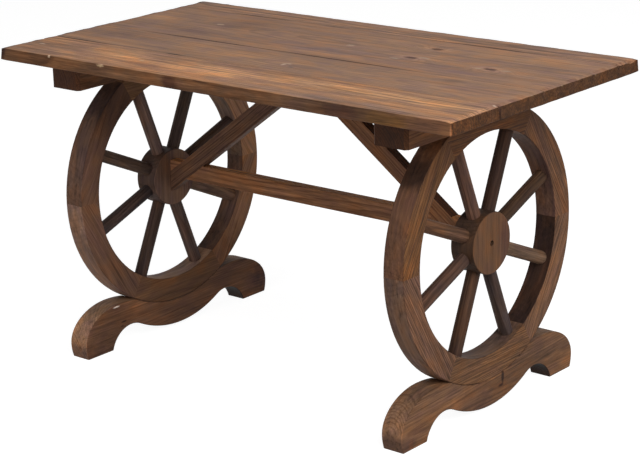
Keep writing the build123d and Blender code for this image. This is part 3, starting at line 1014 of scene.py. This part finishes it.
def knot(material, centre):
    """A knot in a paler ring, round which the rings of its plank bend, with a dark heart."""
    tree = material.node_tree
    mark(material, centre, knot_ring, knot_ring_tone, 0.6, (60, 150, 150), start=0.1)
    socket = tree.nodes["fir"].inputs["Swirl"]
    bulge = worked(tree, "MULTIPLY", near(tree, centre, knot_bend, 0.0, start=0.0), knot_swirl)
    if socket.links:
        bulge = worked(tree, "ADD", bulge, socket.links[0].from_socket)
    tree.links.new(bulge, socket)
    mark(material, centre, knot_core, knot_core_tone, 0.45, (160, 260, 260))


def gilded(material, thin, zones):
    """Golden wood on the face that looks up, with more of it in the zones where the stain was rubbed thin."""
    tree = material.node_tree
    amount = thin
    for x, y, reach_x, reach_y, extra in zones:
        zone = near(tree, (x, y, top_high.z), (reach_x, reach_y, zone_depth), 0.3, (9, 60, 60), start=0.0)
        amount = worked(tree, "ADD", worked(tree, "MULTIPLY", zone, extra), amount)
    golden = worked(tree, "MULTIPLY", amount, turned(tree, (0, 0, 1)))
    tree.links.new(golden, tree.nodes["fir"].inputs["Golden"])


# For each plank: the heart of its log, its tone, how strong its year lines and its smoke are, and how
# thin its stain is.
planks = (
    ((0, -0.196, 0.584), (1.17, 1.24, 1.39), 0.75, 1.0, 0.36),
    ((0, -0.09, 0.55), (0.96, 1.08, 1.34), 0.36, 0.52, 0.26),
    ((0, 0.10, 0.52), (1.00, 1.11, 1.35), 0.38, 0.56, 0.20),
    ((0, 0.26, 0.54), (1.01, 1.11, 1.38), 0.75, 0.9, 0.33))

# Zones of a plank, each with its place and reach along and across the top: where the stain was rubbed
# thin, with how much gold shows there, and where it lies darker or paler, with its shade.
golden_zones = {
    1: ((-0.28, -0.198, 0.14, 0.040, 0.85), (-0.06, -0.208, 0.20, 0.045, 0.85),
        (0.20, -0.190, 0.24, 0.036, 0.6), (0.42, -0.192, 0.18, 0.034, 0.6)),
    2: ((-0.02, -0.08, 0.25, 0.04, 0.12),),
    3: ((-0.48, 0.10, 0.06, 0.05, 0.3), (0.36, 0.16, 0.2, 0.06, 0.2), (0.10, 0.14, 0.2, 0.05, 0.12)),
    4: ((0.16, 0.225, 0.3, 0.02, 0.2),)}
smoky_zones = {
    1: ((-0.16, -0.215, 0.42, 0.080, (1.20, 1.14, 1.10)), (0.26, -0.262, 0.34, 0.022, (0.74, 0.82, 1.02)),
        (-0.17, -0.245, 0.09, 0.022, (0.62, 0.60, 0.66)), (-0.47, -0.245, 0.08, 0.025, (0.74, 0.74, 0.80)),
        (0.16, -0.160, 0.42, 0.014, (0.80, 0.78, 0.80))),
    2: ((-0.42, -0.060, 0.18, 0.05, (0.84, 0.80, 0.80)), (0.44, -0.080, 0.12, 0.05, (0.88, 0.86, 0.92)),
        (0.06, -0.105, 0.07, 0.03, (0.80, 0.80, 0.88)), (0.357, -0.045, 0.035, 0.022, (0.70, 0.68, 0.68))),
    3: ((0.00, 0.040, 0.26, 0.045, (0.88, 0.92, 1.10)), (-0.27, 0.150, 0.11, 0.09, (0.78, 0.74, 0.70)),
        (0.30, 0.020, 0.13, 0.04, (0.86, 0.88, 1.04)), (-0.32, 0.030, 0.14, 0.04, (0.88, 0.86, 0.90))),
    4: ((0.26, 0.217, 0.10, 0.006, (0.45, 0.42, 0.44)), (0.30, 0.240, 0.16, 0.007, (0.62, 0.58, 0.56)),
        (-0.35, 0.255, 0.20, 0.02, (0.80, 0.82, 0.86)))}

# Where a seam runs across the top, how far its darkness reaches, the middles and half lengths of the
# stretches in which it is dark, and its shades on the top and on the end grain.
seams = (
    (-0.146, 0.0046, ((-0.46, 0.14), (-0.20, 0.03)), (0.24, 0.21, 0.22), (0.35, 0.30, 0.28)),
    (-0.018, 0.0060, ((-0.24, 0.20), (0.08, 0.24)), (0.34, 0.28, 0.26), (0.75, 0.72, 0.70)),
    (0.213, 0.0042, ((-0.30, 0.10), (0.24, 0.19)), (0.34, 0.28, 0.26), (0.75, 0.72, 0.70)))

# Chips where bare or dark wood shows, each with its place, its length and width, and its colour.
chips = {
    1: ((-0.392, -0.279, 0.598, 0.004, 0.0038, (0.95, 0.72, 0.55)),
        (-0.257, -0.279, 0.597, 0.011, 0.0038, (0.88, 0.64, 0.44)),
        (-0.482, -0.212, 0.600, 0.014, 0.0030, (0.55, 0.40, 0.30)),
        (-0.214, -0.217, 0.600, 0.012, 0.0030, (0.60, 0.42, 0.28)),
        (0.517, -0.150, 0.600, 0.005, 0.0040, (0.48, 0.38, 0.31)),
        (-0.520, -0.178, 0.600, 0.008, 0.0080, (0.20, 0.14, 0.12))),
    2: ((0.526, -0.052, 0.5995, 0.004, 0.0060, (0.50, 0.38, 0.28)),
        (0.025, -0.100, 0.600, 0.006, 0.0110, (0.50, 0.36, 0.27)),
        (0.031, -0.092, 0.600, 0.008, 0.0050, (0.46, 0.33, 0.25)),
        (0.050, -0.110, 0.600, 0.010, 0.0040, (0.14, 0.10, 0.09))),
    3: ((0.526, 0.036, 0.5995, 0.004, 0.0050, (0.50, 0.38, 0.28)),
        (0.526, 0.141, 0.5995, 0.004, 0.0070, (0.50, 0.38, 0.28)),
        (0.023, 0.092, 0.600, 0.013, 0.0090, (0.40, 0.27, 0.19)),
        (-0.319, 0.109, 0.600, 0.014, 0.0070, (0.42, 0.29, 0.20)),
        (0.160, 0.048, 0.600, 0.014, 0.0050, (0.36, 0.27, 0.20)),
        (0.205, 0.078, 0.600, 0.016, 0.0050, (0.38, 0.28, 0.21)),
        (0.335, 0.060, 0.600, 0.014, 0.0040, (0.37, 0.27, 0.19)),
        (0.388, 0.068, 0.600, 0.016, 0.0040, (0.37, 0.27, 0.20))),
    4: ()}

# Spots on the front edge, each with its middle and half length along it and its shade.
front_spots = ((-0.30, 0.24, (1.05, 1.08, 1.10)), (-0.085, 0.03, (0.45, 0.40, 0.46)),
               (0.28, 0.34, (0.78, 0.82, 0.88)), (0.395, 0.07, (1.20, 1.15, 0.80)),
               (0.30, 0.05, (0.80, 0.74, 0.86)))
knots = {1: (), 2: (), 3: ((0.180, 0.150), (0.182, 0.068), (0.357, 0.065)), 4: ()}
notches = {1: ((-0.527, -0.148), (-0.527, -0.182)), 2: ((-0.527, -0.145),), 3: (), 4: ((0.527, 0.262),)}
end_grain_tone = (0.48, 0.37, 0.225)
# Painted shade on the front edge, along the arris at the left end and along the back arris.
front_painted_shade = (0.62, 0.56, 0.46)
left_end_painted_shade = (0.30, 0.26, 0.30)
back_edge_painted_shade = (0.60, 0.56, 0.60)
lit_end_tone = (1.45, 1.38, 1.32)
front_arris_tone = (0.95, 0.98, 1.05)
seam_arris_tone = (0.55, 0.50, 0.52)
whole_top = 3.0
seam_overlap = 0.01
edge_middle = 0.586
for number, (heart, tone, lines, smoke, thin_stain) in enumerate(planks, start=1):
    node = f"top_plank_{number}"
    low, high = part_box(node)
    wood = stained(f"{node}_fir", (1, 0.01, 0.015), heart, tone, Seed=31 + number, Rings=230, Wander=0.04,
                   Lines=lines, Smoke=smoke)
    tree = wood.node_tree
    gilded(wood, thin_stain, golden_zones[number])
    for x, y, reach_x, reach_y, shade in smoky_zones[number]:
        mark(wood, (x, y, high.z), (reach_x, reach_y, zone_depth), shade, 0.4, (9, 70, 70), start=0.0)
    for place in knots[number]:
        knot(wood, (*place, high.z))
    for x, y, z, length, width, colour in chips[number]:
        mark(wood, (x, y, z), (length, width, width), colour, 0.5, (210, 210, 210), start=0.2, blend="MIX")
    for y, reach, stretches, shade, end_shade in seams:
        if low.y - seam_overlap < y < high.y + seam_overlap:
            for middle, half in stretches:
                mark(wood, (middle, y, high.z), (half, reach, 0.02), shade, 0.3, (20, 200, 200))
            mark(wood, (high.x, y, (low.z + high.z) / 2), (0.004, reach, 0.03), end_shade, 0.2)
    place = object_place(tree)
    chunks = speckle(tree, place, (60, 75, 110), 2.0, 0.6)
    flecks = speckle(tree, place, (200, 300, 260), 2.0, 0.7)
    for shade in (end_grain_tone, ramp(tree, chunks, ((0.36, 0.72), (0.5, 1.0), (0.64, 1.22))),
                  ramp(tree, flecks, ((0.34, 0.60), (0.5, 1.0), (0.68, 1.5)))):
        tint(wood, turned(tree, (1, 0, 0)), shade)
    if number == 1:
        front = turned(tree, (0, -1, 0))
        # Painted shade on the front edge of the front plank.
        tint(wood, front, front_painted_shade)
        for x, half, shade in front_spots:
            mark(wood, (x, low.y, edge_middle), (half, 0.01, 0.02), shade, 0.4, within=front)
        # Painted highlight on the near corner of the front edge.
        mark(wood, (high.x, low.y, edge_middle), (0.0055, 0.0055, 0.016), (2.3, 2.1, 2.0), 0.1)
    # Painted shade along the arris at the left end of the top.
    mark(wood, (low.x, 0, high.z), (0.017, whole_top, 0.03), left_end_painted_shade, 0.2, (40, 40, 40), 0.5)
    # Painted shade along the back arris of the back plank.
    if number == 4:
        mark(wood, (0, high.y, high.z), (whole_top, 0.009, 0.01), back_edge_painted_shade, 0.2, (40, 40, 40), 0.2)
    arris_wear_and_highlight(wood, lit_end_tone, 0.9, turned(tree, (1, 0, 1), 0.6, 0.9))
    arris_wear_and_highlight(wood, front_arris_tone if number == 1 else seam_arris_tone, 0.8)
    worn_plank(low, high, [Vector((*notch, high.z)) for notch in notches[number]])
    finished(node, wood, flat_or_end)


# ---------------------------------------------------------------- screws and dowels
# Zinc-plated wood screws with a cross recess hold the frame together, their heads sunk in the wood.
# Bare beech dowels lie across the joints of the rims.


def flecked(name, stretch, dark, light, gain, base, metallic=0.0):
    """A material whose colour and roughness vary with one fine noise."""
    material, tree, shader = blank(name)
    grit = speckle(tree, object_place(tree), stretch, 3.0, 0.6)
    tree.links.new(ramp(tree, grit, ((0.3, dark), (0.7, light))), shader.inputs["Base Color"])
    tree.links.new(worked(tree, "MULTIPLY_ADD", grit, gain, base), shader.inputs["Roughness"])
    shader.inputs["Metallic"].default_value = metallic
    return material


def wood_screw(diameter, length):
    """A countersunk screw from its flat head at the origin up Z to its point, with ridges for a thread."""
    radius = 0.49 * diameter
    core = 0.34 * diameter
    pitch = 0.4 * diameter
    height = 0.4 * length
    profile = [(2 * radius, 0), (2 * radius, 0.06 * diameter), (radius, diameter / 2), (radius, height)]
    while height < length - 1.5 * diameter:
        profile += [(core, height + pitch / 4), (core, height + 3 * pitch / 4), (radius, height + pitch)]
        height += pitch
    piece = turned_rod(profile + [(core, height + pitch / 4), (0.02 * diameter, length)])
    for wide, deep in ((0.55, 0.10), (0.10, 0.55)):
        size = Vector((wide, deep, 0.4)) * diameter
        recess = squared((-size.x, -size.y, -size.z), size, 0)
        drilled(piece, recess)
        thrown_away(recess)
    return piece


zinc = flecked("zinc_plate", (420, 420, 420), (0.34, 0.34, 0.33), (0.60, 0.60, 0.58), 0.3, 0.22, 1.0)
for node, holes in screws.items():
    pattern = wood_screw(*holes[0][0])
    joined([copied(pattern, aimed(place, direction)) for size, place, direction in holes])
    finished(node, zinc, unrubbed, "steel")
    thrown_away(pattern)

beech = flecked("bare_beech", (700, 160, 160), (0.42, 0.29, 0.16), (0.58, 0.42, 0.25), 0.2, 0.55)
for name in ("left", "right"):
    for slot in bpy.data.objects[f"{name}_felloe_dowels"].material_slots:
        slot.material = beech


# ---------------------------------------------------------------- floor, light and camera
# A plain pale floor that shows as white, under soft studio light from above the camera, from the front and
# from the side, with a dim white room around.


def seen_apart(tree, lighting, seen):
    """One surface for the rays that light the table, another for what is seen straight or mirrored."""
    path = grown(tree, "ShaderNodeLightPath").node.outputs
    straight = worked(tree, "MAXIMUM", path["Is Camera Ray"], path["Is Glossy Ray"])
    return grown(tree, "ShaderNodeMixShader", straight, lighting, seen)


bpy.ops.mesh.primitive_plane_add(size=30)
floor = bpy.context.object
floor.name = "floor"
pale, tree, shader = blank("pale_floor")
shader.inputs["Base Color"].default_value = (0.3, 0.3, 0.3, 1)
shader.inputs["Roughness"].default_value = 0.9
shader.inputs["Specular IOR Level"].default_value = 0.0
dark = grown(tree, "ShaderNodeEmission", None, 0.0)
glow = grown(tree, "ShaderNodeEmission", None, 0.93)
surface = grown(tree, "ShaderNodeAddShader", shader.outputs[0], seen_apart(tree, dark, glow))
tree.links.new(surface, tree.nodes["Material Output"].inputs["Surface"])
floor.data.materials.append(pale)

world = bpy.data.worlds.new("white_room")
bpy.context.scene.world = world
world.use_nodes = True
tree = world.node_tree
dim = grown(tree, "ShaderNodeBackground", (1, 1, 1, 1), 0.10)
white = grown(tree, "ShaderNodeBackground", (1, 1, 1, 1), 1.0)
tree.links.new(seen_apart(tree, dim, white), tree.nodes["World Output"].inputs["Surface"])


def softbox(name, place, aim, size, power):
    """A round soft lamp at a place, turned to what it lights."""
    bpy.ops.object.light_add(type="AREA", location=place)
    holder = bpy.context.object
    holder.name = name
    holder.data.shape = "DISK"
    holder.data.size = size
    holder.data.energy = power
    holder.rotation_euler = (Vector(aim) - Vector(place)).to_track_quat("-Z", "Y").to_euler()


softbox("key_light", (2.7, -1.1, 2.6), (0, 0, 0.4), 2.2, 100)
softbox("top_light", (-0.3, 0.3, 3.0), (0, 0, 0.5), 2.5, 12)
softbox("side_light", (3.1, 0.9, 0.5), (-0.3, 0.1, 0.35), 1.5, 14)
softbox("front_light", (0.3, -3.2, 0.75), (0, 0, 0.3), 2.0, 34)

camera_place = (2.33215, -2.73735, 1.36050)
camera_heading = 0.7025
camera_pitch = -0.2956
camera_roll = -0.0271
bpy.ops.object.camera_add()
camera = bpy.context.object
camera.data.sensor_width = 36
camera.data.lens = 112.93
camera.matrix_world = (Matrix.Translation(camera_place) @ Matrix.Rotation(camera_heading, 4, "Z")
                       @ Matrix.Rotation(math.pi / 2 + camera_pitch, 4, "X")
                       @ Matrix.Rotation(camera_roll, 4, "Z"))
bpy.context.scene.camera = camera
bpy.context.scene.view_settings.view_transform = "Standard"
